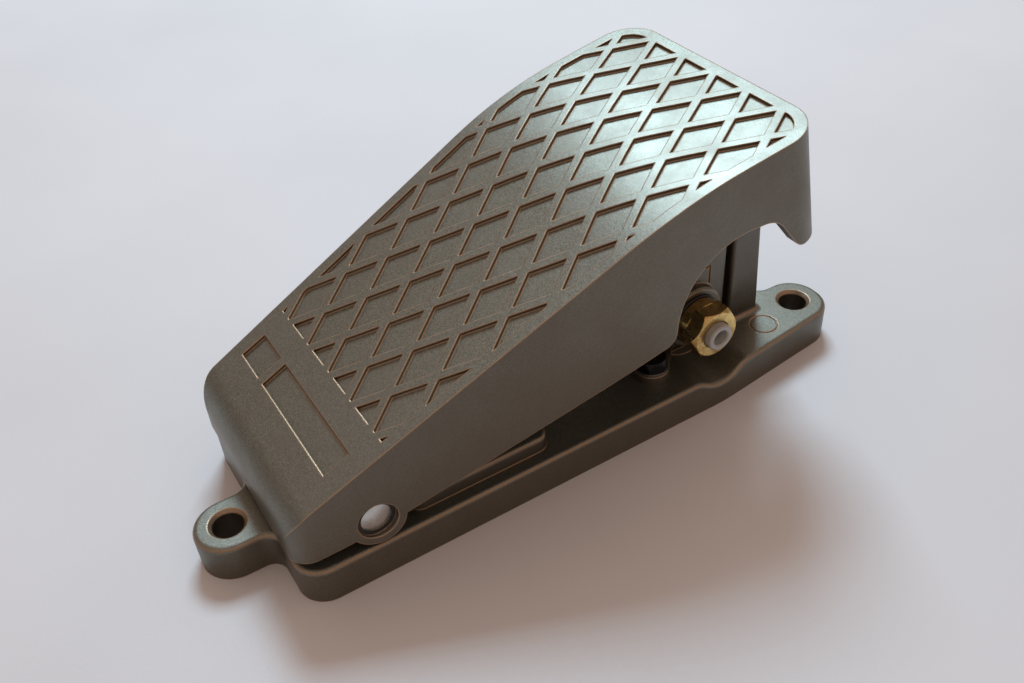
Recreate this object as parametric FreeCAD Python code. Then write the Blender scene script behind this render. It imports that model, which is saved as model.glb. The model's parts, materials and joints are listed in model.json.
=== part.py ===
"""Foot-pedal air valve: a die-cast treadle that pivots on a flanged base and pushes a small spool valve.

Millimetres, +Z up, +Y from the heel to the toe of the treadle, +X to the right-hand side.
The origin is the centre of the footprint, on the surface that the base stands on.
"""
import FreeCAD, Part
import os
from math import acos, asin, cos, degrees, hypot, pi, radians, sin, tan

V = FreeCAD.Vector
X_AXIS, Y_AXIS, Z_AXIS = V(1, 0, 0), V(0, 1, 0), V(0, 0, 1)
SIDES = (1, -1)                     # right, left

# ---- driving dimensions -------------------------------------------------------------------------
HOLE_PITCH = 149.0                  # between the two lug holes, along Y
HOLE_R = 3.5                        # clearance hole for an M6 screw
HOLE_CHAMFER = 0.8
FRONT_LUG_X, FRONT_LUG_R = 4.6, 7.6
REAR_LUG_X, REAR_LUG_R = 17.1, 7.8
FRONT_LUG_Y = -75.8
REAR_LUG_Y = FRONT_LUG_Y + HOLE_PITCH
FRONT_END, REAR_END = FRONT_LUG_Y - FRONT_LUG_R, REAR_LUG_Y + REAR_LUG_R
FOOTPRINT_Y = (FRONT_END + REAR_END) / 2    # the pieces are laid out first and centred when saved

BASE_TOP = 9.4
BASE_HALF = 28.8                    # half width of the base
BASE_FRONT, BASE_REAR = -68.4, 68.0
TAPER_Y = 41.5                      # where the base starts to narrow towards the rear
BASE_EDGE_R = 1.2
WEB = 4.5                           # height of the hollow underneath
SKIRT_T = 3.4

PIN_Y, PIN_Z, PIN_R = -50.5, 16.4, 3.5
EAR_IN, EAR_OUT, EAR_R = 12.5, 19.8, 6.3
PLATEAU_TOP, PLATEAU_HALF, PLATEAU_END = 13.4, 25.2, -6.6

HEEL_Y = -68.9
SLOPE_1, SLOPE_2 = 25.5, 9.8        # tread angles before and after the bend, degrees
BEND_Y, BEND_Z, BEND_R = 20.87, 65.46, 118.0
TOE_Y, TOE_LEAN = 58.3, 9.0         # top of the toe wall and how far it leans out, degrees
HEEL_R = 9.5
TREAD_T, WALL_T = 3.0, 2.8
CORNER_HEEL, CORNER_TOE = 5.0, 9.0
HALF_HEEL, HALF_MID, HALF_TOE = 26.2, 32.3, 33.4
MID_Y, FAR_Y = 14.0, 75.0           # the half widths are at -FAR_Y, MID_Y and FAR_Y
SIDE_BEND_R = 300.0                 # the sides bend gently at MID_Y
EDGE_Z = (19.7, 62.3, 74.9)         # height of the tread's edge at those three places
WALL_DRAFT = 2.6                    # the side walls lean out towards the bottom, degrees

TRAVEL = 4.0                        # treadle travel, degrees
PORT_Y, SUPPLY_Z, OUTLET_Z = 40.8, 18.5, 28.0
STROKE = (PORT_Y - PIN_Y) * radians(TRAVEL)

BODY_HALF, BODY_Y0, BODY_Y1, BODY_TOP = 14.5, 29.0, 52.0, 44.0
BOSS_FACE, BOSS_R = 16.8, 8.2
POST_Y0, POST_Y1, POST_TOP = 53.7, 63.5, 46.0

TUBE_R = 2.05                       # bore for a 4 mm tube
HEX_AF = 12.0
LOOSE = 0.05                        # radial gap between pieces that are screwed or pushed together


# ---- helpers ------------------------------------------------------------------------------------
def wire(points, place):
    """Closed wire through (u, v, radius) corners, each corner rounded to its radius."""
    count = len(points)
    corners = []
    for i, (u, v, r) in enumerate(points):
        a, b = points[i - 1], points[(i + 1) % count]
        la, lb = hypot(a[0] - u, a[1] - v), hypot(b[0] - u, b[1] - v)
        da, db = ((a[0] - u) / la, (a[1] - v) / la), ((b[0] - u) / lb, (b[1] - v) / lb)
        if not r:
            corners.append(((u, v), None, (u, v)))
            continue
        half = acos(da[0] * db[0] + da[1] * db[1]) / 2
        t = r / tan(half)
        mid = (r / sin(half) - r) / hypot(da[0] + db[0], da[1] + db[1])
        corners.append(((u + da[0] * t, v + da[1] * t),
                        (u + (da[0] + db[0]) * mid, v + (da[1] + db[1]) * mid),
                        (u + db[0] * t, v + db[1] * t)))
    edges = []
    for i, (start, mid, end) in enumerate(corners):
        if mid:
            edges.append(Part.Arc(place(*start), place(*mid), place(*end)).toShape())
        nxt = corners[(i + 1) % count][0]
        if hypot(nxt[0] - end[0], nxt[1] - end[1]) > 1e-6:
            edges.append(Part.LineSegment(place(*end), place(*nxt)).toShape())
    return Part.Wire(edges)


def plan_prism(points, z0, z1):
    """Extrude an (x, y, radius) outline from z0 up to z1."""
    return Part.Face(wire(points, lambda x, y: V(x, y, z0))).extrude(V(0, 0, z1 - z0))


def side_prism(points, x0, x1):
    """Extrude a (y, z, radius) outline from x0 to x1."""
    return Part.Face(wire(points, lambda y, z: V(x0, y, z))).extrude(V(x1 - x0, 0, 0))


def end_prism(points, y0, y1):
    """Extrude an (x, z, radius) outline from y0 to y1."""
    return Part.Face(wire(points, lambda x, z: V(x, y0, z))).extrude(V(0, y1 - y0, 0))


def box(x0, x1, y0, y1, z0, z1):
    return Part.makeBox(x1 - x0, y1 - y0, z1 - z0, V(x0, y0, z0))


def rod_x(r, x0, x1, y, z):
    return Part.makeCylinder(r, abs(x1 - x0), V(min(x0, x1), y, z), X_AXIS)


def rod_z(r, z0, z1, x=0.0, y=PORT_Y):
    return Part.makeCylinder(r, z1 - z0, V(x, y, z0), Z_AXIS)


def ring_z(r_in, r_out, z0, z1, x=0.0, y=PORT_Y):
    return rod_z(r_out, z0, z1, x, y).cut(rod_z(r_in, z0, z1, x, y))


def turned(profile, place, axis_point, axis):
    """Revolve an (along, radius) outline about an axis; place turns a pair into a point."""
    return Part.Face(wire([(a, r, 0) for a, r in profile], place)).revolve(axis_point, axis, 360)


def turned_x(profile, y, z, side=1):
    """Turned piece on an axis along X; distances run outwards from x = 0 on the given side."""
    return turned(profile, lambda a, r: V(side * a, y, z + r), V(0, y, z), X_AXIS)


def turned_z(profile, x=0.0, y=PORT_Y):
    return turned(profile, lambda a, r: V(x + r, y, a), V(x, y, 0), Z_AXIS)


def hexagon(af, x0, x1, y, z, turn=0.0):
    """Hexagonal bar along X."""
    r = af / 3 ** 0.5
    pts = [V(x0, y + r * cos(radians(turn + 60 * k)), z + r * sin(radians(turn + 60 * k))) for k in range(6)]
    return Part.Face(Part.makePolygon(pts + pts[:1])).extrude(V(x1 - x0, 0, 0))


def hexagon_z(af, z0, z1, x, y, turn=0.0):
    r = af / 3 ** 0.5
    pts = [V(x + r * cos(radians(turn + 60 * k)), y + r * sin(radians(turn + 60 * k)), z0) for k in range(6)]
    return Part.Face(Part.makePolygon(pts + pts[:1])).extrude(V(0, 0, z1 - z0))


def torus_z(major, minor, z, x=0.0, y=PORT_Y):
    return Part.makeTorus(major, minor, V(x, y, z), Z_AXIS)


def helix_wire(mean_r, wire_r, pitch, turns, start_turn):
    """Coil along +Z from the origin, starting at start_turn degrees round from +X."""
    path = Part.Wire(Part.makeHelix(pitch, pitch * turns, mean_r).Edges)
    section = Part.Wire(Part.Circle(V(mean_r, 0, 0), V(0, mean_r, pitch / (2 * pi)), wire_r).toShape())
    coil = path.makePipeShell([section], True, True)
    coil.rotate(V(0, 0, 0), Z_AXIS, start_turn)
    return coil


def fused(shape, *others):
    return shape.fuse(list(others)).removeSplitter()


def rounded(shape, radius, chosen):
    """Round the edges that the test picks."""
    picked = [e for e in shape.Edges if chosen(e)]
    return shape.makeFillet(radius, picked)


def middle(edge):
    return edge.valueAt((edge.FirstParameter + edge.LastParameter) / 2)


def ends(edge):
    return edge.valueAt(edge.FirstParameter), edge.valueAt(edge.LastParameter)


def is_vertical(edge):
    a, b = ends(edge)
    return hypot(a.x - b.x, a.y - b.y) < 0.01 and abs(a.z - b.z) > 1


def only_solid(shape):
    return shape.Solids[0] if len(shape.Solids) == 1 else shape


def save(name, shape):
    solids = [s.translated(V(0, -FOOTPRINT_Y, 0)) for s in shape.Solids]
    good = all(s.isValid() and s.Volume > 0 for s in solids) and solids
    print(f"{name:26s} solids {len(solids)}  volume {sum(s.Volume for s in solids):10.1f}"
          f"  {'ok' if good else 'BAD'}")
    (solids[0] if len(solids) == 1 else Part.makeCompound(solids)).exportStep(f"parts/{name}.step")


# ---- treadle ------------------------------------------------------------------------------------
def tread_profile(inset_top, inset_heel, inset_toe, z_low=0.0):
    """Side outline of the treadle block, moved inwards by the given amounts."""
    m1, m2, lean = tan(radians(SLOPE_1)), tan(radians(SLOPE_2)), tan(radians(TOE_LEAN))
    drop1, drop2 = inset_top / cos(radians(SLOPE_1)), inset_top / cos(radians(SLOPE_2))

    def low_line(y):
        return BEND_Z + m1 * (y - BEND_Y) - drop1

    bend_y = BEND_Y + (drop1 - drop2) / (m1 - m2)
    heel = HEEL_Y + inset_heel
    # the toe wall runs down and out from the top of the toe
    toe_top = BEND_Z + m2 * (TOE_Y - BEND_Y)
    shift = inset_toe / cos(radians(TOE_LEAN))
    toe_y = (TOE_Y - shift + lean * (toe_top - BEND_Z + drop2 + m2 * BEND_Y)) / (1 + lean * m2)
    toe_z = BEND_Z + m2 * (toe_y - BEND_Y) - drop2
    low_y = TOE_Y - shift + lean * (toe_top - z_low)
    return [(heel, z_low, 0), (heel, low_line(heel), HEEL_R - inset_heel if inset_heel < HEEL_R else 0),
            (bend_y, low_line(bend_y), BEND_R - inset_top), (toe_y, toe_z, 0), (low_y, z_low, 0)]


def tread_plan(inset):
    """Plan outline of the tread's edge: narrow at the heel, nearly parallel at the toe."""
    right = [(HALF_HEEL - inset, -FAR_Y, 0), (HALF_MID - inset, MID_Y, SIDE_BEND_R), (HALF_TOE - inset, FAR_Y, 0)]
    return right + [(-x, y, r) for x, y, r in reversed(right)]


def drafted_plan(inset, z0, z1):
    """Solid between the treadle's leaning side walls and behind its heel, moved in by inset."""
    lean = tan(radians(WALL_DRAFT))
    heel_y = HEEL_Y + inset
    along = (HEEL_Y + FAR_Y) / (MID_Y + FAR_Y)
    heel = [HALF_HEEL + along * (HALF_MID - HALF_HEEL), EDGE_Z[0] + along * (EDGE_Z[1] - EDGE_Z[0])]
    places = [(*heel, heel_y, CORNER_HEEL - inset), (HALF_MID, EDGE_Z[1], MID_Y, SIDE_BEND_R),
              (HALF_TOE, EDGE_Z[2], FAR_Y, 0)]
    halves = []
    for side in SIDES:
        outline = [(side * (half - inset + (edge_z - z0) * lean), y, r) for half, edge_z, y, r in places]
        outline += [(side * -60, FAR_Y, 0), (side * -60, heel_y, 0)]
        face = Part.Face(wire(outline, lambda x, y: V(x, y, z0)))
        halves.append(face.extrude(V(-side * lean * (z1 - z0), 0, z1 - z0)))
    return halves[0].common(halves[1])


def treadle_block():
    """Outside of the treadle: a crisp edge round the tread, soft upright corners."""
    block = side_prism(tread_profile(0, 0, 0), -45, 45).common(drafted_plan(0, -5, 85))
    block = block.removeSplitter().Solids[0]
    return rounded(block, CORNER_TOE, lambda e: middle(e).y > 59 and abs(ends(e)[0].z - ends(e)[1].z) > 40)


# lower edge of the treadle's skirt
SKIRT_HEEL_Z = 12.2
SKIRT_SLOPE = 0.2576
ARCH_Y0, ARCH_TOP, ARCH_R = 21.0, 53.2, 19.4
TOE_LOW = 43.7
LOBE_R = 6.2
REST_TOP = 11.3                     # top of the rubber pad under the heel


def below_skirt():
    """Everything under the lower edge: heel lip, rising edge, high arch over the tubes, toe apron."""
    rise_y = -43.5
    rise_z = 17.3 + SKIRT_SLOPE * (rise_y + 37.4)
    knee_z = 17.3 + SKIRT_SLOPE * (ARCH_Y0 + 37.4)
    points = [(-90, -5, 0), (-90, SKIRT_HEEL_Z, 0), (-63.6, SKIRT_HEEL_Z, 5), (-57.4, 12.9, 0),
              (rise_y, rise_z, 0), (ARCH_Y0, knee_z, 3.5), (ARCH_Y0, ARCH_TOP, ARCH_R - 0.01),
              (46.8, ARCH_TOP, 6.4), (53.8, TOE_LOW, 4.0), (90, TOE_LOW, 0), (90, -5, 0)]
    lobe = rod_x(LOBE_R, -60, 60, PIN_Y, PIN_Z)
    return side_prism(points, -50, 50).cut(lobe)


def under_tread(depth_from, depth_to, x0, x1):
    """A rib under the tread, following its slope."""
    outer = side_prism(tread_profile(depth_from, WALL_T, WALL_T), x0, x1)
    return outer.cut(side_prism(tread_profile(depth_to, WALL_T - 1, WALL_T - 1), x0 - 1, x1 + 1))


# diamond pockets in the tread
POCKET_ACROSS, POCKET_ALONG = 10.97, 18.68
POCKET_FILL = 0.8
POCKET_DEPTH, POCKET_DRAFT = 0.8, 8.0
POCKET_MARGIN = 2.8
POCKET_START_Y = -45.6              # straight edge of the pattern, towards the heel
ROW_ZERO_Y = 47.37                  # a row with a pocket on the centre line


def tread_point(distance):
    """(y, z, slope) of the tread surface at a distance along it, measured from ROW_ZERO_Y."""
    a1, a2 = radians(SLOPE_1), radians(SLOPE_2)
    t = BEND_R * tan((a1 - a2) / 2)
    row_zero = (ROW_ZERO_Y - BEND_Y) / cos(a2)
    s = distance + row_zero          # distance from the bend's corner along the far line
    arc = BEND_R * (a1 - a2)
    if s >= t:
        return BEND_Y + s * cos(a2), BEND_Z + s * sin(a2), a2
    if s >= t - arc:
        a = a2 + (t - s) / BEND_R
        end = (BEND_Y + t * cos(a2), BEND_Z + t * sin(a2))
        centre = (end[0] + BEND_R * sin(a2), end[1] - BEND_R * cos(a2))
        return centre[0] - BEND_R * sin(a), centre[1] + BEND_R * cos(a), a
    back = t - arc - s
    start = (BEND_Y - t * cos(a1), BEND_Z - t * sin(a1))
    return start[0] - back * cos(a1), start[1] - back * sin(a1), a1


def pocket_tools():
    """The diamonds, cut off along the tread's edges and at the heel end."""
    half_w, half_l = POCKET_FILL * POCKET_ACROSS / 2, POCKET_FILL * POCKET_ALONG / 2
    field = plan_prism(tread_plan(POCKET_MARGIN), 0, 90)
    field = field.common(box(-40, 40, POCKET_START_Y, TOE_Y - POCKET_MARGIN, 0, 90)).Solids[0]
    field = rounded(field, CORNER_TOE - POCKET_MARGIN, lambda e: is_vertical(e) and middle(e).y > 50)
    skin = side_prism(tread_profile(-3, 0, 0), -45, 45).cut(side_prism(tread_profile(POCKET_DEPTH, -1, -1), -50, 50))
    tools = []
    for row in range(1, -12, -1):
        y, z, slope = tread_point(row * POCKET_ALONG / 2)
        along, up = V(0, cos(slope), sin(slope)), V(0, -sin(slope), cos(slope))
        for column in range(-6, 7):
            if (column + row) % 2:
                continue
            centre = V(column * POCKET_ACROSS / 2, y, z)
            rims = []
            for height in (-2.0, 0.6):
                grow = 1 + height * tan(radians(POCKET_DRAFT)) / (half_w * half_l / hypot(half_w, half_l))
                tips = [centre + up * height + offset * grow for offset in
                        (X_AXIS * -half_w, along * half_l, X_AXIS * half_w, along * -half_l)]
                rims.append(Part.makePolygon(tips + tips[:1]))
            tools.append(Part.makeLoft(rims, True, True))
    diamonds = Part.makeCompound(tools)
    return diamonds.common(field.common(skin))


# recessed name plates at the heel end of the tread, left blank
PLATE_Y0, PLATE_Y1, PLATE_DEPTH = -57.5, -51.5, 0.8
PLATES = ((-23.4, -13.5), (-11.2, 21.8))


def plate_tools():
    skin = side_prism(tread_profile(-3, 0, 0), -45, 45)
    skin = skin.cut(side_prism(tread_profile(PLATE_DEPTH, -1, -1), -50, 50))
    return [skin.common(box(x0, x1, PLATE_Y0, PLATE_Y1, 0, 60)) for x0, x1 in PLATES]


PAD_Z = 60.8                        # where the treadle's pad meets the plunger
PAD_BOSS_R, PAD_BOSS_LOW = 6.0, 62.6
NOTCH_TOP, NOTCH_HALF = 58.0, 17.5
BUSH_R = 4.3
BUSH_IN, BUSH_OUT = 20.0, 27.6
BUSH_FLANGE_R, BUSH_FLANGE_T = 6.0, 0.8


def make_treadle():
    block = treadle_block()
    hollow = side_prism(tread_profile(TREAD_T, WALL_T, WALL_T, -5), -45, 45)
    hollow = hollow.common(drafted_plan(WALL_T, -10, 85)).Solids[0]
    hollow = rounded(hollow, CORNER_TOE - WALL_T,
                     lambda e: middle(e).y > 57 and abs(ends(e)[0].z - ends(e)[1].z) > 40)
    shell = block.cut(hollow)
    shell = shell.cut(below_skirt())

    # window in the toe apron that the guard post stands in
    window = [(-NOTCH_HALF - 2.5, 35, 0), (-NOTCH_HALF, NOTCH_TOP, 6), (NOTCH_HALF, NOTCH_TOP, 6),
              (NOTCH_HALF + 2.5, 35, 0)]
    shell = shell.cut(end_prism(window, 50, 75))

    adds = []
    for side in SIDES:
        adds.append(rod_x(LOBE_R, side * (BUSH_IN + BUSH_FLANGE_T), side * 26.0, PIN_Y, PIN_Z))
    for x in (-14.0, 14.0):
        rib = under_tread(TREAD_T - 0.5, TREAD_T + 5, x - 1.1, x + 1.1)
        adds.append(rib.common(box(-40, 40, -36, 60, 15, 80)))
    for y in (-26.0, -8.0, 10.0, 29.0):
        rib = under_tread(TREAD_T - 0.5, TREAD_T + 4, -29.5, 29.5).common(box(-40, 40, y - 1, y + 1, 15, 80))
        adds.append(rib.common(block))
    adds.append(rod_z(PAD_BOSS_R, PAD_BOSS_LOW, 67.5))
    stop_rib = box(-9, 9, 53.6, 58.5, NOTCH_TOP, 70).common(block)
    adds.append(stop_rib)
    heel_rib = box(-8, 8, -67.0, -63.2, REST_TOP + 0.15, 26).common(block)
    adds.append(heel_rib)
    shell = shell.fuse(adds).removeSplitter()
    shell = shell.common(fused(block, rod_x(1, -1, 1, 0, 30)))

    cuts = [rod_x(BUSH_R, side * 19, side * BUSH_OUT, PIN_Y, PIN_Z) for side in SIDES]
    cuts += [rod_x(BUSH_R + 0.1, side * BUSH_OUT, side * 35, PIN_Y, PIN_Z) for side in SIDES]
    cuts.append(rod_z(PAD_STEM_R + LOOSE, PAD_BOSS_LOW - 1, 66.2))
    shell = shell.cut(cuts)
    shell = shell.cut(plate_tools())
    return only_solid(shell.cut(pocket_tools()))


PAD_R, PAD_STEM_R = 4.5, 2.0


def make_pressure_pad():
    """Hardened steel button in the treadle's boss; its face is level at half travel."""
    pad = turned_z([(PAD_Z, 0), (PAD_Z, PAD_R - 0.4), (PAD_Z + 0.4, PAD_R), (PAD_BOSS_LOW, PAD_R),
                    (PAD_BOSS_LOW, PAD_STEM_R), (66.0, PAD_STEM_R), (66.0, 0)])
    tilt = box(-10, 10, PORT_Y - 10, PORT_Y + 10, PAD_Z - 3, PAD_Z)
    tilt.rotate(V(0, PORT_Y, PAD_Z), X_AXIS, TRAVEL / 2)
    return pad.cut(tilt)


def make_bush(side):
    return turned_x([(BUSH_IN, PIN_R + 0.03), (BUSH_IN, BUSH_FLANGE_R), (BUSH_IN + BUSH_FLANGE_T, BUSH_FLANGE_R),
                     (BUSH_IN + BUSH_FLANGE_T, BUSH_R), (BUSH_OUT, BUSH_R), (BUSH_OUT, PIN_R + 0.03)],
                    PIN_Y, PIN_Z, side)


# ---- base ---------------------------------------------------------------------------------------
BODY_SCREW_X, BODY_SCREW_Y = 18.6, 26.4
REAR_SCREW_X, REAR_SCREW_Y = 9.5, 48.5
SCREW_R = 2.0
PLUG_HOLE_R = 8.0
SCOOP_Z_LOW, SCOOP_HALF, SCOOP_R = 5.2, 7.2, 8.8


def base_outline():
    lug_l, lug_r = FRONT_LUG_X - FRONT_LUG_R, FRONT_LUG_X + FRONT_LUG_R
    rear_l = REAR_LUG_X - REAR_LUG_R
    lug_round = 0.96 * REAR_LUG_R
    return [(-BASE_HALF, BASE_FRONT, 6.5), (lug_l, BASE_FRONT, 3.5), (lug_l, FRONT_END, FRONT_LUG_R - 0.01),
            (lug_r, FRONT_END, FRONT_LUG_R - 0.01), (lug_r, BASE_FRONT, 3.5), (BASE_HALF, BASE_FRONT, 6.5),
            (BASE_HALF, TAPER_Y, 60), (24.6, REAR_END, lug_round), (rear_l, REAR_END, lug_round),
            (rear_l, BASE_REAR, 3.5), (-25.7, BASE_REAR, 9), (-BASE_HALF, TAPER_Y, 60)]


def scoop_tool(side):
    """Round-lipped hollow that leaves room for a spanner and the tube beside the valve."""
    points = [(PORT_Y - 12, BASE_TOP, 0), (PORT_Y - SCOOP_HALF, BASE_TOP, 5), (PORT_Y, SCOOP_Z_LOW, SCOOP_R),
              (PORT_Y + SCOOP_HALF, BASE_TOP, 5), (PORT_Y + 12, BASE_TOP, 0), (PORT_Y + 12, 20, 0),
              (PORT_Y - 12, 20, 0)]
    return side_prism(points, *sorted((side * 15.2, side * 40)))


def make_base():
    base = plan_prism(base_outline(), 0, BASE_TOP)
    base = base.cut([scoop_tool(side) for side in SIDES]).removeSplitter().Solids[0]

    def top_rim(edge):
        a, b = ends(edge)
        m = middle(edge)
        inside = abs(m.x) < 15.3 and -60 < m.y < 60 or (abs(abs(m.x) - 15.2) < 0.05 and abs(m.y - PORT_Y) < 13)
        across = abs(a.y - b.y) < 0.01 and abs(a.x - b.x) > 8 and abs(m.y - PORT_Y) < 13
        return min(a.z, b.z, m.z) > 5 and not inside and not across and not is_vertical(edge)

    base = rounded(base, BASE_EDGE_R, top_rim)

    # hinge plateau, ears, post
    wide = plan_prism([(-PLATEAU_HALF, -41.5, 3), (PLATEAU_HALF, -41.5, 3), (PLATEAU_HALF, PLATEAU_END, 3),
                       (-PLATEAU_HALF, PLATEAU_END, 3)], BASE_TOP - 1, PLATEAU_TOP)
    wide = rounded(wide, 1.2, lambda e: middle(e).z > PLATEAU_TOP - 0.01)
    narrow = box(-EAR_OUT, EAR_OUT, -60, -40, BASE_TOP - 1, PLATEAU_TOP)
    bay = box(-EAR_IN, EAR_IN, -58, -41.0, BASE_TOP, 30)
    leg_slot = box(7.6, 10.6, -42, -33.5, 10.45, 30)
    ears = []
    for side in SIDES:
        x0, x1 = sorted((side * EAR_IN, side * EAR_OUT))
        ears.append(rod_x(EAR_R, x0, x1, PIN_Y, PIN_Z))
        foot = [(PIN_Y - 8.5, PLATEAU_TOP - 3, 0), (PIN_Y - 6.2, PIN_Z, 0), (PIN_Y + 6.2, PIN_Z, 0),
                (PIN_Y + 8.5, PLATEAU_TOP - 3, 0)]
        ears.append(side_prism(foot, x0, x1))
    post = side_prism([(POST_Y0, BASE_TOP - 1, 0), (POST_Y0, POST_TOP, 0), (POST_Y1 - 2.0, POST_TOP, 0),
                       (POST_Y1, BASE_TOP - 1, 0)], -BODY_HALF, BODY_HALF)
    post = rounded(post, 1.0, lambda e: middle(e).z > BASE_TOP)
    base = base.fuse(post).removeSplitter()

    def post_foot(edge):
        m = middle(edge)
        return abs(m.z - BASE_TOP) < 0.01 and abs(m.x) < BODY_HALF + 0.1 and POST_Y0 + 0.1 < m.y < POST_Y1 + 0.1

    base = rounded(base, 1.5, post_foot)
    base = base.fuse([wide, narrow.cut(bay), *ears])
    base = base.cut([bay.common(box(-EAR_IN, EAR_IN, -58, -41, BASE_TOP, 30)), leg_slot]).removeSplitter()

    # hollow underneath, with ribs and solid bosses round every screw
    inset = SKIRT_T
    hollow = plan_prism([(-BASE_HALF + inset, BASE_FRONT + inset, 4), (BASE_HALF - inset, BASE_FRONT + inset, 4),
                         (BASE_HALF - inset, TAPER_Y, 0), (22.4, 63.5, 4), (-22.4, 63.5, 4),
                         (-BASE_HALF + inset, TAPER_Y, 0)], -1, WEB)
    ribs = [box(-1.2, 1.2, BASE_FRONT, 28, -1, WEB)]
    ribs += [box(-BASE_HALF, BASE_HALF, y - 1.2, y + 1.2, -1, WEB) for y in (-50.5, -28.0, -6.0, 16.0)]
    ribs.append(ring_z(0.01, 12.0, -1, WEB))
    ribs += [rod_z(5.0, -1, WEB, side * BODY_SCREW_X, BODY_SCREW_Y) for side in SIDES]
    ribs += [rod_z(6.0, -1, WEB, side * REAR_SCREW_X, REAR_SCREW_Y + 3) for side in SIDES]
    base = base.cut(hollow.cut(ribs))

    cuts = [rod_x(PIN_R + 0.02, -30, 30, PIN_Y, PIN_Z)]
    for x, y in ((FRONT_LUG_X, FRONT_LUG_Y), (REAR_LUG_X, REAR_LUG_Y)):
        cuts.append(rod_z(HOLE_R, -1, 20, x, y))
        cuts.append(Part.makeCone(HOLE_R, HOLE_R + HOLE_CHAMFER, HOLE_CHAMFER,
                                  V(x, y, BASE_TOP - HOLE_CHAMFER), Z_AXIS))
    for side in SIDES:
        cuts.append(rod_z(SCREW_R + LOOSE, -1, 20, side * BODY_SCREW_X, BODY_SCREW_Y))
        cuts.append(rod_z(SCREW_R + 0.2, -1, 20, side * REAR_SCREW_X, REAR_SCREW_Y))
        cuts.append(rod_z(3.7, -1, 4.2, side * REAR_SCREW_X, REAR_SCREW_Y))
    cuts.append(rod_z(PLUG_HOLE_R, -1, 20))
    cuts.append(rod_z(BUMPER_STEM_R, POST_TOP - 6, POST_TOP + 1, 0, BUMPER_Y))
    # shallow witness ring of an ejector pin beside the rear lug
    cuts.append(ring_z(3.2, 3.5, BASE_TOP - 0.25, BASE_TOP + 1, 20.2, 60.6))
    return only_solid(base.cut(cuts))


BUMPER_STEM_R, BUMPER_Y = 2.5, 57.6


def make_stop_bumper():
    pad = plan_prism([(-8, 54.4, 1.5), (8, 54.4, 1.5), (8, 60.8, 1.5), (-8, 60.8, 1.5)], POST_TOP, 50.0)
    pad = rounded(pad, 0.8, lambda e: middle(e).z > 49.99)
    return fused(pad, rod_z(BUMPER_STEM_R - LOOSE, POST_TOP - 5.5, POST_TOP + 1, 0, BUMPER_Y))


def make_rest_pad():
    pad = plan_prism([(-7.5, -65.5, 1), (7.5, -65.5, 1), (7.5, -62.2, 1), (-7.5, -62.2, 1)], BASE_TOP, REST_TOP)
    return rounded(pad, 0.4, lambda e: middle(e).z > REST_TOP - 0.01)


# ---- pivot --------------------------------------------------------------------------------------
PIN_HALF = 28.2
CLIP_X, CLIP_T, GROOVE_R = 11.75, 0.6, 2.9


def make_pivot_pin():
    dome = 0.7
    sphere_r = (PIN_R ** 2 + dome ** 2) / (2 * dome)
    straight = PIN_HALF - dome
    pin = rod_x(PIN_R, -straight, straight, PIN_Y, PIN_Z)
    caps = []
    for side in SIDES:
        ball = Part.makeSphere(sphere_r, V(side * (PIN_HALF - sphere_r), PIN_Y, PIN_Z))
        caps.append(ball.common(rod_x(PIN_R, side * straight, side * (PIN_HALF + 1), PIN_Y, PIN_Z)))
    pin = fused(pin, *caps)
    for side in SIDES:
        a, b = side * (CLIP_X - 0.05), side * (CLIP_X + CLIP_T + 0.05)
        pin = pin.cut(rod_x(PIN_R + 1, a, b, PIN_Y, PIN_Z).cut(rod_x(GROOVE_R, a, b, PIN_Y, PIN_Z)))
    return pin


def make_pin_clips():
    clips = []
    for side in SIDES:
        a, b = side * CLIP_X, side * (CLIP_X + CLIP_T)
        clip = rod_x(5.2, a, b, PIN_Y, PIN_Z).cut(rod_x(4.0, a, b, PIN_Y, PIN_Z))
        tabs = []
        for turn in (0, 120, 240):
            x0, x1 = sorted((a, b))
            tab = box(x0, x1, PIN_Y - 1, PIN_Y + 1, PIN_Z + 2.5, PIN_Z + 4.6)
            tab.rotate(V(0, PIN_Y, PIN_Z), X_AXIS, turn)
            tabs.append(tab)
        clip = clip.fuse(tabs).cut(rod_x(GROOVE_R + 0.03, a, b, PIN_Y, PIN_Z))
        mouth = box(-30, 30, PIN_Y - 1.9, PIN_Y + 1.9, PIN_Z + 2.0, PIN_Z + 8)
        mouth.rotate(V(0, PIN_Y, PIN_Z), X_AXIS, 60)
        clips.append(clip.cut(mouth).removeSplitter().Solids[0])
    return Part.makeCompound(clips)


COIL_R, COIL_WIRE_R, COIL_PITCH, COIL_TURNS = 5.2, 0.7, 1.9, 9
LEG_ANGLE = 31.0                    # the upper leg's slope, degrees


def make_return_spring():
    """Torsion spring round the pin: the lower leg lies on the base, the upper leg under the tread."""
    start_turn = 90 + LEG_ANGLE
    turns = COIL_TURNS + (270 - start_turn) / 360
    coil = helix_wire(COIL_R, COIL_WIRE_R, COIL_PITCH, turns, 0)
    # stand the coil's axis along +X, with turn angles measured from +Y towards +Z
    coil.rotate(V(0, 0, 0), V(1, 1, 1), 120)
    coil.rotate(V(0, 0, 0), X_AXIS, start_turn)
    x0 = 9.1 - COIL_PITCH * turns
    coil.translate(V(x0, PIN_Y, PIN_Z))
    start = V(x0, PIN_Y + COIL_R * cos(radians(start_turn)), PIN_Z + COIL_R * sin(radians(start_turn)))
    upper = Part.makeCylinder(COIL_WIRE_R, 23, start, V(0, cos(radians(LEG_ANGLE)), sin(radians(LEG_ANGLE))))
    lower = Part.makeCylinder(COIL_WIRE_R, 16, V(9.1, PIN_Y, PIN_Z - COIL_R), Y_AXIS)
    joints = [Part.makeSphere(COIL_WIRE_R, p) for p in (start, V(9.1, PIN_Y, PIN_Z - COIL_R))]
    return fused(coil, upper, lower, *joints)


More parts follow.
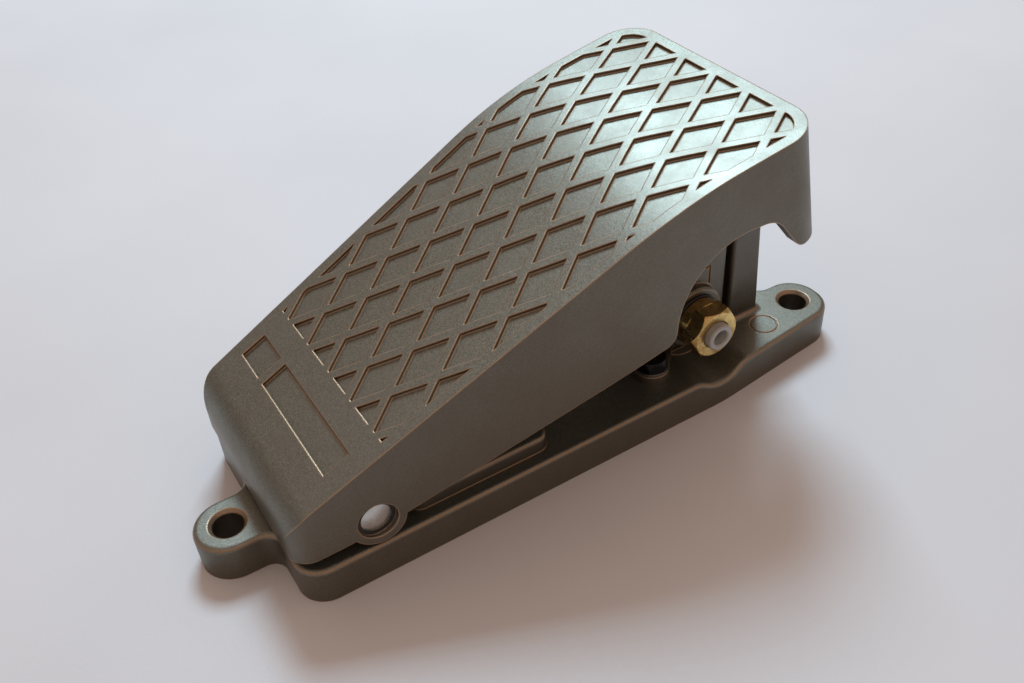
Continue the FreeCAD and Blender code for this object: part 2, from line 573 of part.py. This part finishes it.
# ---- valve --------------------------------------------------------------------------------------
CHAMBER_R, LAND_R = 6.2, 4.6
LAND_1, LAND_2 = (22.2, 24.6), (31.4, 33.4)
CHAMBER_TOP = 40.0
THREAD_R, THREAD_END = 4.65, 9.0
PASSAGE_R = 1.5                     # air way between a fitting and the spool chamber
NOSE_R = 4.6
GUIDE_THREAD_R = 8.0
EXHAUST_Z, FILTER_R = 37.0, 5.0
PLUNGER_R = 3.2
LABEL = (34.9, 46.7, 24.6, 30.4)    # y0, y1, z0, z1 of the blank label frame


def make_valve_body():
    body = box(-BODY_HALF, BODY_HALF, BODY_Y0, BODY_Y1, BASE_TOP, BODY_TOP)
    body = rounded(body, 1.5, is_vertical)
    body = rounded(body, 0.8, lambda e: middle(e).z > BODY_TOP - 0.01)
    adds = []
    for side, z in zip(SIDES, (SUPPLY_Z, OUTLET_Z)):
        boss = turned_x([(13, 0), (13, BOSS_R + 0.2), (BOSS_FACE - 0.5, BOSS_R), (BOSS_FACE, BOSS_R - 0.5),
                         (BOSS_FACE, 0)], PORT_Y, z, side)
        adds.append(boss)
        ear = rod_z(4.3, BASE_TOP, 11.6, side * BODY_SCREW_X, BODY_SCREW_Y)
        arm = plan_prism([(side * 10, 29.5, 0), (side * 15.8, 24.0, 0), (side * 22.0, 29.0, 0),
                          (side * 14.5, 36.0, 0)], BASE_TOP, 11.6)
        adds += [ear, arm]
    body = body.fuse(adds).removeSplitter()

    cuts = [rod_z(CHAMBER_R, BASE_TOP - 1, LAND_1[0]), rod_z(LAND_R, LAND_1[0] - 1, CHAMBER_TOP),
            rod_z(CHAMBER_R, LAND_1[1], LAND_2[0]), rod_z(CHAMBER_R, LAND_2[1], CHAMBER_TOP),
            rod_z(GUIDE_THREAD_R, CHAMBER_TOP, BODY_TOP + 1),
            Part.makeCylinder(FILTER_R, 3.0, V(0, BODY_Y0, EXHAUST_Z), Y_AXIS),
            Part.makeCylinder(2.2, PORT_Y - BODY_Y0, V(0, BODY_Y0, EXHAUST_Z), Y_AXIS)]
    for side, z in zip(SIDES, (SUPPLY_Z, OUTLET_Z)):
        cuts.append(rod_x(THREAD_R, side * THREAD_END, side * 20, PORT_Y, z))
        cuts.append(rod_x(PASSAGE_R, 0, side * 12, PORT_Y, z))
        cuts.append(rod_z(SCREW_R + LOOSE, BASE_TOP - 1, 12, side * BODY_SCREW_X, BODY_SCREW_Y))
        cuts.append(rod_z(SCREW_R + LOOSE, BASE_TOP - 1, 17, side * REAR_SCREW_X, REAR_SCREW_Y))
        # blank frame over the port, drawn as a groove
        y0, y1, z0, z1 = LABEL
        lift = z - SUPPLY_Z
        groove = 0.5
        x0, x1 = sorted((side * (BODY_HALF - 0.4), side * (BODY_HALF + 1)))
        frame = box(x0, x1, y0, y1, z0 + lift, z1 + lift)
        inner = box(x0, x1, y0 + groove, y1 - groove, z0 + lift + groove, z1 + lift - groove)
        cuts.append(frame.cut([inner, rod_x(BOSS_R + 0.5, x0, x1, PORT_Y, z)]))
        # arrow towards the port inside the frame
        mid_y, mid_z = (y0 + y1) / 2, (z0 + z1) / 2 + lift
        arrow = [(mid_y - 1.6, mid_z + 1.2, 0), (mid_y + 1.6, mid_z + 1.2, 0), (mid_y, mid_z - 1.5, 0)]
        cuts.append(side_prism(arrow, x0, x1))
    return only_solid(body.cut(cuts))


PLUG_LOW, PLUG_TOP = 5.2, 13.5
PLUG_SEAL_Z = 11.6
SEAL_MINOR = 0.65


def make_bottom_plug():
    plug = turned_z([(PLUG_LOW, 0), (PLUG_LOW, 7.2), (PLUG_LOW + 0.4, 7.6), (BASE_TOP - 0.02, 7.6),
                     (BASE_TOP - 0.02, CHAMBER_R - LOOSE), (PLUG_TOP, CHAMBER_R - LOOSE), (PLUG_TOP, 4.4),
                     (7.6, 4.4), (7.6, 0)])
    groove = ring_z(CHAMBER_R - 1.35, CHAMBER_R + 1, PLUG_SEAL_Z - 0.75, PLUG_SEAL_Z + 0.75)
    socket = hexagon_z(6, PLUG_LOW - 1, PLUG_LOW + 1.9, 0, PORT_Y)
    return plug.cut([groove, socket])


def make_plug_seal():
    return torus_z(CHAMBER_R - LOOSE - SEAL_MINOR, SEAL_MINOR, PLUG_SEAL_Z)


def make_guide():
    """Screwed-in guide nut for the plunger, with a recess for the wiper."""
    guide = turned_z([(CHAMBER_TOP + 0.02, PLUNGER_R + 0.04), (CHAMBER_TOP + 0.02, GUIDE_THREAD_R - LOOSE),
                      (BODY_TOP, GUIDE_THREAD_R - LOOSE), (BODY_TOP, 9.6), (BODY_TOP + 0.5, 10.0),
                      (46.6, 10.0), (47.0, 9.6), (47.0, 4.7), (45.2, 4.7), (45.2, PLUNGER_R + 0.04)])
    flats = [box(8.5, 12, 20, 60, BODY_TOP + 0.6, 48), box(-12, -8.5, 20, 60, BODY_TOP + 0.6, 48)]
    return guide.cut(flats)


def make_wiper():
    return turned_z([(45.25, PLUNGER_R + 0.05), (45.25, 4.65), (46.9, 4.65), (47.5, PLUNGER_R + 0.5),
                     (47.5, PLUNGER_R + 0.05)])


HEAD_LOW, PLUNGER_TOP = 56.5, PAD_Z - 0.15
SPOOL_TOP = 39.4
SPOOL_SEALS = (23.4, 38.4)
FLANGE_R, STEM_R = LAND_R - 0.12, 2.2


def make_plunger():
    dome_r = 14.0
    head_r = 4.8
    rise = dome_r - (dome_r ** 2 - head_r ** 2) ** 0.5
    shaft = turned_z([(SPOOL_TOP, 0), (SPOOL_TOP, PLUNGER_R - 0.4), (SPOOL_TOP + 0.4, PLUNGER_R),
                      (HEAD_LOW, PLUNGER_R), (HEAD_LOW, head_r - 0.3), (HEAD_LOW + 0.3, head_r),
                      (PLUNGER_TOP - rise, head_r), (PLUNGER_TOP - rise, 0)])
    ball = Part.makeSphere(dome_r, V(0, PORT_Y, PLUNGER_TOP - dome_r))
    cap = ball.common(rod_z(head_r, PLUNGER_TOP - rise, PLUNGER_TOP + 1))
    return fused(shaft, cap)


def make_spool():
    low = 14.4
    spool = turned_z([(low, 0), (low, STEM_R - 0.3), (low + 0.3, STEM_R), (SPOOL_SEALS[0] - 1.0, STEM_R),
                      (SPOOL_SEALS[0] - 1.0, FLANGE_R), (SPOOL_SEALS[0] + 1.0, FLANGE_R),
                      (SPOOL_SEALS[0] + 1.0, STEM_R), (SPOOL_SEALS[1] - 1.0, STEM_R),
                      (SPOOL_SEALS[1] - 1.0, FLANGE_R), (SPOOL_TOP, FLANGE_R), (SPOOL_TOP, 0)])
    grooves = [ring_z(FLANGE_R - 1.3, FLANGE_R + 1, z - 0.7, z + 0.7) for z in SPOOL_SEALS]
    return spool.cut(grooves)


def make_spool_seals():
    return Part.makeCompound([torus_z(LAND_R - 0.04 - 0.6, 0.6, z) for z in SPOOL_SEALS])


def make_valve_spring():
    seat, top, mean_r, wire_r = 7.65, SPOOL_SEALS[0] - 1.05, 3.4, 0.4
    turns = 6
    height = top - seat - 2 * wire_r
    coil = helix_wire(mean_r, wire_r, height / turns, turns, 0)
    tips = [Part.makeSphere(wire_r, V(mean_r, 0, z)) for z in (0, height)]
    coil = fused(coil, *tips)
    coil.translate(V(0, PORT_Y, seat + wire_r))
    return coil


def make_exhaust_filter():
    disc = Part.makeCylinder(FILTER_R - LOOSE, 2.6, V(0, BODY_Y0 + 0.3, EXHAUST_Z), Y_AXIS)
    return disc.makeChamfer(0.4, [e for e in disc.Edges if abs(middle(e).y - BODY_Y0 - 0.3) < 0.01])


# ---- push-in fittings ---------------------------------------------------------------------------
FIT_SEAL_T = 0.7
FIT_SEAL_R = 6.6
COLLAR_R, COLLAR_END = 6.2, 20.4
HEX_END = 24.6
HEX_TURN = 57.0
BUTTON_R, BUTTON_END = 3.45, 26.4
BUTTON_TRAVEL = 0.8


def make_fitting_body(side, z):
    start = BOSS_FACE + FIT_SEAL_T
    outer = turned_x([(THREAD_END + 0.4, 0), (THREAD_END + 0.4, NOSE_R - 0.6), (THREAD_END + 1.0, NOSE_R),
                      (start, NOSE_R), (start, COLLAR_R - 0.3), (start + 0.3, COLLAR_R),
                      (COLLAR_END, COLLAR_R), (COLLAR_END, 0)], PORT_Y, z, side)
    hexa = hexagon(HEX_AF, side * (COLLAR_END - 0.2), side * HEX_END, PORT_Y, z, HEX_TURN)
    corner = HEX_AF / 3 ** 0.5
    barrel = turned_x([(COLLAR_END - 1, 0), (COLLAR_END - 1, corner + 1), (HEX_END - 1.2, corner + 0.25),
                       (HEX_END, HEX_AF / 2 - 0.1), (HEX_END, 0)], PORT_Y, z, side)
    body = fused(outer, hexa.common(barrel))
    tube_stop = 15.0
    inside = turned_x([(0, 0), (0, PASSAGE_R), (tube_stop, PASSAGE_R), (tube_stop, TUBE_R), (16.6, TUBE_R), (16.6, 3.4), (20.2, 3.4), (20.2, 3.3),
                       (23.0, 3.3), (23.0, BUTTON_R + 0.25), (HEX_END + 1, BUTTON_R + 0.25), (HEX_END + 1, 0)],
                      PORT_Y, z, side)
    return body.cut(inside)


def make_fitting_seal(side, z):
    return turned_x([(BOSS_FACE, NOSE_R + LOOSE), (BOSS_FACE, FIT_SEAL_R - 0.2), (BOSS_FACE + 0.2, FIT_SEAL_R),
                     (BOSS_FACE + FIT_SEAL_T - 0.2, FIT_SEAL_R), (BOSS_FACE + FIT_SEAL_T, FIT_SEAL_R - 0.2),
                     (BOSS_FACE + FIT_SEAL_T, NOSE_R + LOOSE)], PORT_Y, z, side)


def make_tube_seal(side, z):
    return turned_x([(16.65, TUBE_R), (16.65, 3.35), (18.5, 3.35), (18.5, TUBE_R + 0.4)], PORT_Y, z, side)


def make_grip_ring(side, z):
    """Thin stainless ring whose teeth lean into the tube."""
    ring = turned_x([(18.6, 3.35), (18.6, 2.9), (19.3, 2.2), (19.45, 2.3), (18.85, 2.95), (18.85, 3.35)],
                    PORT_Y, z, side)
    slots = []
    for k in range(8):
        x0, x1 = sorted((side * 18.7, side * 20))
        slot = box(x0, x1, PORT_Y - 0.2, PORT_Y + 0.2, z + 1.5, z + 3.05)
        slot.rotate(V(0, PORT_Y, z), X_AXIS, 45 * k)
        slots.append(slot)
    return ring.cut(slots)


def make_release_button(side, z):
    flange_in = 24.1
    return turned_x([(20.4, TUBE_R), (20.4, 2.5), (21.0, 3.0), (flange_in, 3.0), (flange_in, BUTTON_R),
                     (BUTTON_END - 0.35, BUTTON_R), (BUTTON_END, BUTTON_R - 0.35), (BUTTON_END, TUBE_R + 0.3),
                     (BUTTON_END - 0.3, TUBE_R)], PORT_Y, z, side)


# ---- fasteners ----------------------------------------------------------------------------------
def make_body_screws():
    screws = []
    for side in SIDES:
        x, y = side * BODY_SCREW_X, BODY_SCREW_Y
        head = hexagon_z(7, 12.2, 15.0, x, y, 15 * side)
        cone = Part.makeCone(4.6, 3.3, 3.0, V(x, y, 12.2), Z_AXIS)
        shank = rod_z(SCREW_R, 1.5, 12.5, x, y)
        screws.append(fused(head.common(cone), shank))
    return Part.makeCompound(screws)


def make_body_washers():
    return Part.makeCompound([ring_z(SCREW_R + 0.15, 4.0, 11.6, 12.2, s * BODY_SCREW_X, BODY_SCREW_Y)
                              for s in SIDES])


def make_rear_screws():
    screws = []
    for side in SIDES:
        x, y = side * REAR_SCREW_X, REAR_SCREW_Y
        head = rod_z(3.5, 0.9, 4.2, x, y).cut(hexagon_z(3, 0, 2.6, x, y))
        screws.append(fused(head, rod_z(SCREW_R, 4.0, 16.0, x, y)))
    return Part.makeCompound(screws)


# ---- write every piece --------------------------------------------------------------------------
def main():
    os.makedirs("parts", exist_ok=True)
    save("treadle_casting", make_treadle())
    save("pressure_pad", make_pressure_pad())
    save("hinge_bush_right", make_bush(1))
    save("hinge_bush_left", make_bush(-1))
    save("base_casting", make_base())
    save("stop_bumper", make_stop_bumper())
    save("rest_pad", make_rest_pad())
    save("pivot_pin", make_pivot_pin())
    save("pin_clips", make_pin_clips())
    save("return_spring", make_return_spring())
    save("valve_body", make_valve_body())
    save("bottom_plug", make_bottom_plug())
    save("plug_seal", make_plug_seal())
    save("plunger_guide", make_guide())
    save("plunger_wiper", make_wiper())
    save("plunger", make_plunger())
    save("spool", make_spool())
    save("spool_seals", make_spool_seals())
    save("valve_spring", make_valve_spring())
    save("exhaust_filter", make_exhaust_filter())
    save("body_screws", make_body_screws())
    save("body_washers", make_body_washers())
    save("rear_screws", make_rear_screws())
    for name, side, z in (("supply", 1, SUPPLY_Z), ("outlet", -1, OUTLET_Z)):
        save(f"{name}_fitting_body", make_fitting_body(side, z))
        save(f"{name}_fitting_seal", make_fitting_seal(side, z))
        save(f"{name}_tube_seal", make_tube_seal(side, z))
        save(f"{name}_grip_ring", make_grip_ring(side, z))
        save(f"{name}_release_button", make_release_button(side, z))
    print("stroke", round(STROKE, 3), "ratio m/rad", round((PORT_Y - PIN_Y) / 1000, 4))


main()
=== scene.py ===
"""Looks for the foot-pedal air valve: materials, floor, light and camera. Metres, +Z up."""
import json

import bpy
from mathutils import Matrix, Vector

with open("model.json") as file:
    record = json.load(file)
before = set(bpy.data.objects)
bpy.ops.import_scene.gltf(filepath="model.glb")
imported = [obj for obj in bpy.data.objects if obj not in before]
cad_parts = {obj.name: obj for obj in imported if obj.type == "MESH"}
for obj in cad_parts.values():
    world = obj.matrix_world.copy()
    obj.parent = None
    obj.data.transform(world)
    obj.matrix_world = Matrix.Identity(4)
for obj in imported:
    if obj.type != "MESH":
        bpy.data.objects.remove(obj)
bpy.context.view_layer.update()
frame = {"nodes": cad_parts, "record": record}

MM = 0.001
BEVEL_SAMPLES = 6

# the castings' enamel, as linear colours
FLAKE_DARK = (0.148, 0.156, 0.130)
FLAKE_LIGHT = (0.285, 0.298, 0.256)
MOTTLE_TINT = (0.165, 0.140, 0.105)
CLOUD_TINT = (0.230, 0.234, 0.208)
# painted shade: the tint of upright walls
WALL_SHADE_TINT = (0.150, 0.118, 0.088)
# painted highlight: the bronze of edge and rim lines
BRONZE_HIGHLIGHT = (0.62, 0.40, 0.24)
WALL_SHADE_SHARE = 0.55
# share of the painted bronze highlight on sharp edges
EDGE_HIGHLIGHT_SHARE = 0.8
# the base casting: a darker copy of the enamel as painted shade, and painted bronze highlight on
# its rims
BASE_SHADE_TONE = 0.86
BASE_RIM_HIGHLIGHT = 0.4

# the paper under the object
FLOOR_SIZE = 6.0
PAPER_PALE = (0.725, 0.745, 0.775)
PAPER_DULL = (0.665, 0.685, 0.715)

# a cool window high up on the left, and a warm room that is darker towards the floor
WINDOW_PLACE = (-0.64, 0.36, 0.94)
WINDOW_TARGET = (0, 0, 0.03)
WINDOW_SIZE = (0.40, 0.36)
WINDOW_POWER = 10.2
WINDOW_COLOUR = (0.66, 0.86, 1.0)
ROOM_LOW = (0.13, 0.085, 0.06)
ROOM_HIGH = (0.60, 0.435, 0.355)
ROOM_FADE = (0.05, 0.75)

CAMERA_PLACE = (0.16642, -0.09194, 0.17950)
CAMERA_RIGHT = (0.5260, 0.8486, -0.0571)
CAMERA_FORWARD = (-0.6700, 0.3720, -0.6424)
SENSOR_WIDTH_MM = 36.0
FOCAL_LENGTH_MM = 36.97
CLIP_START = 0.005


def rgba(colour, tone=1.0):
    """The colour times tone, with full alpha."""
    return (*[tone * channel for channel in colour], 1)


# ---- small helpers for shader trees ------------------------------------------------------------
class Tree:
    """A material's node tree, with short ways to add nodes and link them."""

    def __init__(self, name):
        self.material = bpy.data.materials.new(name)
        self.material.use_nodes = True
        self.nodes = self.material.node_tree.nodes
        self.links = self.material.node_tree.links
        self.shader = self.nodes["Principled BSDF"]
        self.position = self.nodes.new("ShaderNodeTexCoord").outputs["Object"]

    def put(self, kind, settings=None, **inputs):
        """Adds a node. An input's name has underscores for its spaces."""
        node = self.nodes.new(kind)
        for key, value in (settings or {}).items():
            setattr(node, key, value)
        for key, value in inputs.items():
            self.feed(node.inputs[key.replace("_", " ")], value)
        return node

    def feed(self, socket, value):
        """Links an output to the socket, or sets the socket to a constant."""
        if isinstance(value, bpy.types.NodeSocket):
            self.links.new(value, socket)
        else:
            socket.default_value = value

    def scaled(self, size_mm, stretch=(1, 1, 1)):
        """The position in units of size_mm."""
        point = self.put("ShaderNodeMapping", Vector=self.position)
        point.inputs["Scale"].default_value = [s / (size_mm * MM) for s in stretch]
        return point.outputs[0]

    def noise(self, size_mm, detail=2.0, roughness=0.5, stretch=(1, 1, 1)):
        """Noise whose features are about size_mm across."""
        point = self.scaled(size_mm, stretch)
        return self.put("ShaderNodeTexNoise", Vector=point, Scale=1.0, Detail=detail,
                        Roughness=roughness).outputs["Fac"]

    def cells(self, size_mm):
        """The outputs of a cell texture whose cells are about size_mm across."""
        point = self.scaled(size_mm)
        return self.put("ShaderNodeTexVoronoi", Vector=point, Scale=1.0).outputs

    def ramp(self, value, low, high, to_low=0.0, to_high=1.0):
        """Maps low..high to to_low..to_high, clamped."""
        node = self.put("ShaderNodeMapRange", Value=value)
        limits = {"From Min": low, "From Max": high, "To Min": to_low, "To Max": to_high}
        for key, number in limits.items():
            node.inputs[key].default_value = number
        return node.outputs[0]

    def mix(self, factor, a, b):
        """The colour a where the factor is 0, and b where it is 1."""
        node = self.put("ShaderNodeMix", {"data_type": "RGBA"})
        self.feed(node.inputs["Factor"], factor)
        self.feed(node.inputs["A"], a)
        self.feed(node.inputs["B"], b)
        return node.outputs["Result"]

    def math(self, operation, a, b):
        node = self.put("ShaderNodeMath", {"operation": operation})
        self.feed(node.inputs[0], a)
        self.feed(node.inputs[1], b)
        return node.outputs[0]

    def bump(self, height, depth_mm, normal=None):
        """The normal of a relief depth_mm deep, on top of another normal if one is given."""
        node = self.put("ShaderNodeBump", Height=height, Distance=depth_mm * MM)
        if normal:
            self.feed(node.inputs["Normal"], normal)
        return node.outputs[0]

    def soft_edges(self, radius_mm):
        """Normals of a shape whose edges are rounded to the radius."""
        bevel = self.put("ShaderNodeBevel", {"samples": BEVEL_SAMPLES}, Radius=radius_mm * MM)
        return bevel.outputs[0]

    def edge_mask(self, radius_mm):
        """Near 1 along sharp convex and concave edges, 0 on flats."""
        rounded = self.soft_edges(radius_mm)
        plain = self.put("ShaderNodeNewGeometry").outputs["Normal"]
        dot = self.put("ShaderNodeVectorMath", {"operation": "DOT_PRODUCT"})
        self.feed(dot.inputs[0], rounded)
        self.feed(dot.inputs[1], plain)
        return self.ramp(dot.outputs["Value"], 1.0, 0.9)

    def finish(self, colour, roughness, normal, **constants):
        """Links colour, roughness and normal; other values are set on the shader itself."""
        self.feed(self.shader.inputs["Base Color"], colour)
        self.feed(self.shader.inputs["Roughness"], roughness)
        self.feed(self.shader.inputs["Normal"], normal)
        for key, value in constants.items():
            self.shader.inputs[key.replace("_", " ")].default_value = value
        return self.material


# ---- materials ---------------------------------------------------------------------------------
def cast_paint(name, tone=1.0, rim_highlight=0.0):
    """Satin metallic enamel on a die casting: fine flake, mottling, and a painted bronze highlight
    along the edges.

    rim_highlight is how much of the painted bronze highlight shows on the slopes of rounded rims,
    away from sharp edges.
    """
    t = Tree(name)
    flake = t.put("ShaderNodeSeparateColor", Color=t.cells(0.15)["Color"]).outputs[0]
    mottle = t.noise(9, detail=4, roughness=0.6)
    cloud = t.noise(34, detail=3)
    colour = t.mix(t.ramp(flake, 0.25, 0.95), rgba(FLAKE_DARK, tone), rgba(FLAKE_LIGHT, tone))
    colour = t.mix(t.ramp(mottle, 0.35, 0.7, 0.0, 0.35), colour, rgba(MOTTLE_TINT, tone))
    colour = t.mix(t.ramp(cloud, 0.4, 0.65, 0.0, 0.3), colour, rgba(CLOUD_TINT, tone))

    # painted shade: upright walls are darker and browner, standing in for the dim warm room they
    # face
    own_normal = t.put("ShaderNodeTexCoord").outputs["Normal"]
    facing = t.put("ShaderNodeSeparateXYZ", Vector=own_normal).outputs["Z"]
    colour = t.mix(t.ramp(facing, 0.45, 0.05, 0.0, WALL_SHADE_SHARE), colour, rgba(WALL_SHADE_TINT, tone))

    # painted highlight: bronze lines along sharp edges, and on the slopes of rounded rims
    slope = t.math("MULTIPLY", t.ramp(facing, 0.25, 0.50), t.ramp(facing, 0.88, 0.72))
    rims = t.math("MULTIPLY", slope, rim_highlight)
    edges = t.math("MULTIPLY", t.edge_mask(0.5), EDGE_HIGHLIGHT_SHARE)
    colour = t.mix(t.math("MAXIMUM", rims, edges), colour, rgba(BRONZE_HIGHLIGHT))

    mottled_rough = t.ramp(mottle, 0.3, 0.7, 0.36, 0.46)
    flaked_rough = t.ramp(flake, 0.0, 1.0, -0.05, 0.06)
    roughness = t.math("ADD", mottled_rough, flaked_rough)
    orange_peel = t.noise(1.1, detail=2)
    normal = t.bump(flake, 0.004, t.bump(orange_peel, 0.020, t.soft_edges(0.45)))
    return t.finish(colour, roughness, normal, Metallic=0.78, Coat_Weight=0.08, Coat_Roughness=0.3)


def steel(name, colour, rough):
    """Steel with fine scratches."""
    t = Tree(name)
    scratch = t.noise(0.25, detail=5, roughness=0.7, stretch=(1, 1, 0.12))
    cloud = t.noise(4, detail=3)
    tint = t.mix(t.ramp(cloud, 0.35, 0.7), rgba(colour), rgba(colour, 0.78))
    tint = t.mix(t.ramp(scratch, 0.5, 0.75, 0.0, 0.35), tint, rgba(colour, 0.6))
    roughness = t.ramp(scratch, 0.3, 0.75, rough * 0.8, rough * 1.3)
    normal = t.bump(scratch, 0.01, t.soft_edges(0.15))
    return t.finish(tint, roughness, normal, Metallic=1.0)


def brass(name, colour, dark, rough):
    """Turned brass with clouds of tarnish and fine turning marks."""
    t = Tree(name)
    cloud = t.noise(3.0, detail=4, roughness=0.65)
    scratch = t.noise(0.2, detail=4, roughness=0.7, stretch=(0.15, 1, 1))
    tint = t.mix(t.ramp(cloud, 0.4, 0.72), rgba(colour), rgba(dark))
    tint = t.mix(t.ramp(scratch, 0.5, 0.8, 0.0, 0.3), tint, rgba(dark))
    roughness = t.ramp(cloud, 0.3, 0.75, rough * 0.75, rough * 1.5)
    normal = t.bump(scratch, 0.008, t.soft_edges(0.2))
    return t.finish(tint, roughness, normal, Metallic=1.0)


def plastic(name, colour, rough):
    """Moulded plastic with a faint spark-eroded grain."""
    t = Tree(name)
    cloud = t.noise(2.5, detail=3)
    grain = t.noise(0.3, detail=3, roughness=0.6)
    tint = t.mix(t.ramp(cloud, 0.35, 0.7), rgba(colour), rgba(colour, 0.84))
    roughness = t.ramp(grain, 0.3, 0.7, rough * 0.85, rough * 1.15)
    normal = t.bump(grain, 0.012, t.soft_edges(0.15))
    return t.finish(tint, roughness, normal, Specular_IOR_Level=0.45)


def rubber(name, colour, bloomed):
    """Moulded rubber with a greyish bloom."""
    t = Tree(name)
    grain = t.noise(0.4, detail=4, roughness=0.7)
    bloom = t.noise(5, detail=3)
    tint = t.mix(t.ramp(bloom, 0.4, 0.75), rgba(colour), rgba(bloomed))
    roughness = t.ramp(grain, 0.3, 0.7, 0.55, 0.75)
    return t.finish(tint, roughness, t.bump(grain, 0.03, t.soft_edges(0.2)))


def sintered(name, bead, pore_shade):
    """Pressed beads of an exhaust filter, with painted shade in the gaps between them."""
    t = Tree(name)
    beads = t.cells(0.45)["Distance"]
    # painted shade: the gaps between beads are darker
    tint = t.mix(t.ramp(beads, 0.1, 0.6), rgba(bead), rgba(pore_shade))
    relief = t.math("SUBTRACT", 1.0, beads)
    return t.finish(tint, t.ramp(beads, 0.0, 0.6, 0.4, 0.7), t.bump(relief, 0.25), Metallic=0.9)


SLOTS = {
    "painted_casting": cast_paint("cast_paint"),
    "bright_steel": steel("bright_steel", (0.66, 0.66, 0.64), 0.28),
    "spring_steel": steel("spring_steel", (0.34, 0.34, 0.34), 0.38),
    "black_steel": steel("black_steel", (0.035, 0.035, 0.04), 0.42),
    "brass": brass("brass", (0.83, 0.60, 0.24), (0.42, 0.25, 0.09), 0.26),
    "plated_brass": brass("plated_brass", (0.62, 0.60, 0.55), (0.36, 0.34, 0.30), 0.34),
    # the sintered filter's second colour is painted shade in its pores
    "sintered_bronze": sintered("sintered_bronze", (0.50, 0.35, 0.18), (0.10, 0.06, 0.03)),
    "black_rubber": rubber("black_rubber", (0.018, 0.018, 0.018), (0.045, 0.044, 0.042)),
    "dark_plastic": plastic("dark_plastic", (0.035, 0.035, 0.035), 0.5),
    "grey_plastic": plastic("grey_plastic", (0.56, 0.57, 0.56), 0.42),
}
# nodes whose look differs a little from the rest of their slot: the base casting's enamel is
# darker, as painted shade, with painted bronze highlight on its rims
NODE_LOOKS = {"base_casting": cast_paint("base_paint", BASE_SHADE_TONE, BASE_RIM_HIGHLIGHT)}


def dress_nodes():
    """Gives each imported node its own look, or the look of its material slot."""
    for part in frame["record"]["subparts"]:
        mesh = frame["nodes"][part["node"]].data
        mesh.materials.clear()
        mesh.materials.append(NODE_LOOKS.get(part["node"], SLOTS[part["material_slot"]]))


# ---- floor, light, camera ----------------------------------------------------------------------
def make_floor():
    """A large sheet of pale paper under the object."""
    bpy.ops.mesh.primitive_plane_add(size=FLOOR_SIZE, location=(0, 0, 0))
    floor = bpy.context.object
    floor.name = "floor"
    t = Tree("paper")
    cloud = t.noise(120, detail=3)
    fibre = t.noise(1.2, detail=4, roughness=0.65)
    tint = t.mix(t.ramp(cloud, 0.3, 0.7), rgba(PAPER_PALE), rgba(PAPER_DULL))
    roughness = t.ramp(fibre, 0.3, 0.7, 0.5, 0.65)
    floor.data.materials.append(t.finish(tint, roughness, t.bump(fibre, 0.03)))


def make_window():
    """One soft area light."""
    light = bpy.data.lights.new("window", "AREA")
    light.shape = "RECTANGLE"
    light.size, light.size_y = WINDOW_SIZE
    light.energy = WINDOW_POWER
    light.color = WINDOW_COLOUR
    lamp = bpy.data.objects.new("window", light)
    bpy.context.scene.collection.objects.link(lamp)
    lamp.location = WINDOW_PLACE
    aim = Vector(WINDOW_TARGET) - Vector(WINDOW_PLACE)
    lamp.rotation_euler = aim.to_track_quat("-Z", "Y").to_euler()


def make_room():
    """A world that fades from ROOM_LOW to ROOM_HIGH as the direction rises."""
    world = bpy.data.worlds.new("room")
    bpy.context.scene.world = world
    world.use_nodes = True
    nodes, links = world.node_tree.nodes, world.node_tree.links
    direction = nodes.new("ShaderNodeTexCoord").outputs["Generated"]
    height = nodes.new("ShaderNodeSeparateXYZ")
    fade = nodes.new("ShaderNodeMapRange")
    tint = nodes.new("ShaderNodeMix")
    tint.data_type = "RGBA"
    fade.inputs["From Min"].default_value, fade.inputs["From Max"].default_value = ROOM_FADE
    tint.inputs["A"].default_value = rgba(ROOM_LOW)
    tint.inputs["B"].default_value = rgba(ROOM_HIGH)
    links.new(direction, height.inputs[0])
    links.new(height.outputs["Z"], fade.inputs["Value"])
    links.new(fade.outputs[0], tint.inputs["Factor"])
    links.new(tint.outputs["Result"], nodes["Background"].inputs["Color"])


def make_camera():
    """High up on the right, beside the heel, looking down across the treadle."""
    forward = Vector(CAMERA_FORWARD).normalized()
    right = Vector(CAMERA_RIGHT)
    right = (right - forward * right.dot(forward)).normalized()
    up = right.cross(forward)
    data = bpy.data.cameras.new("camera")
    data.sensor_width = SENSOR_WIDTH_MM
    data.lens = FOCAL_LENGTH_MM
    data.clip_start = CLIP_START
    camera = bpy.data.objects.new("camera", data)
    bpy.context.scene.collection.objects.link(camera)
    turn = Matrix((right, up, -forward)).transposed().to_4x4()
    camera.matrix_world = Matrix.Translation(Vector(CAMERA_PLACE)) @ turn
    bpy.context.scene.camera = camera


make_camera()
dress_nodes()
make_floor()
make_room()
make_window()
bpy.context.scene.view_settings.view_transform = "Standard"
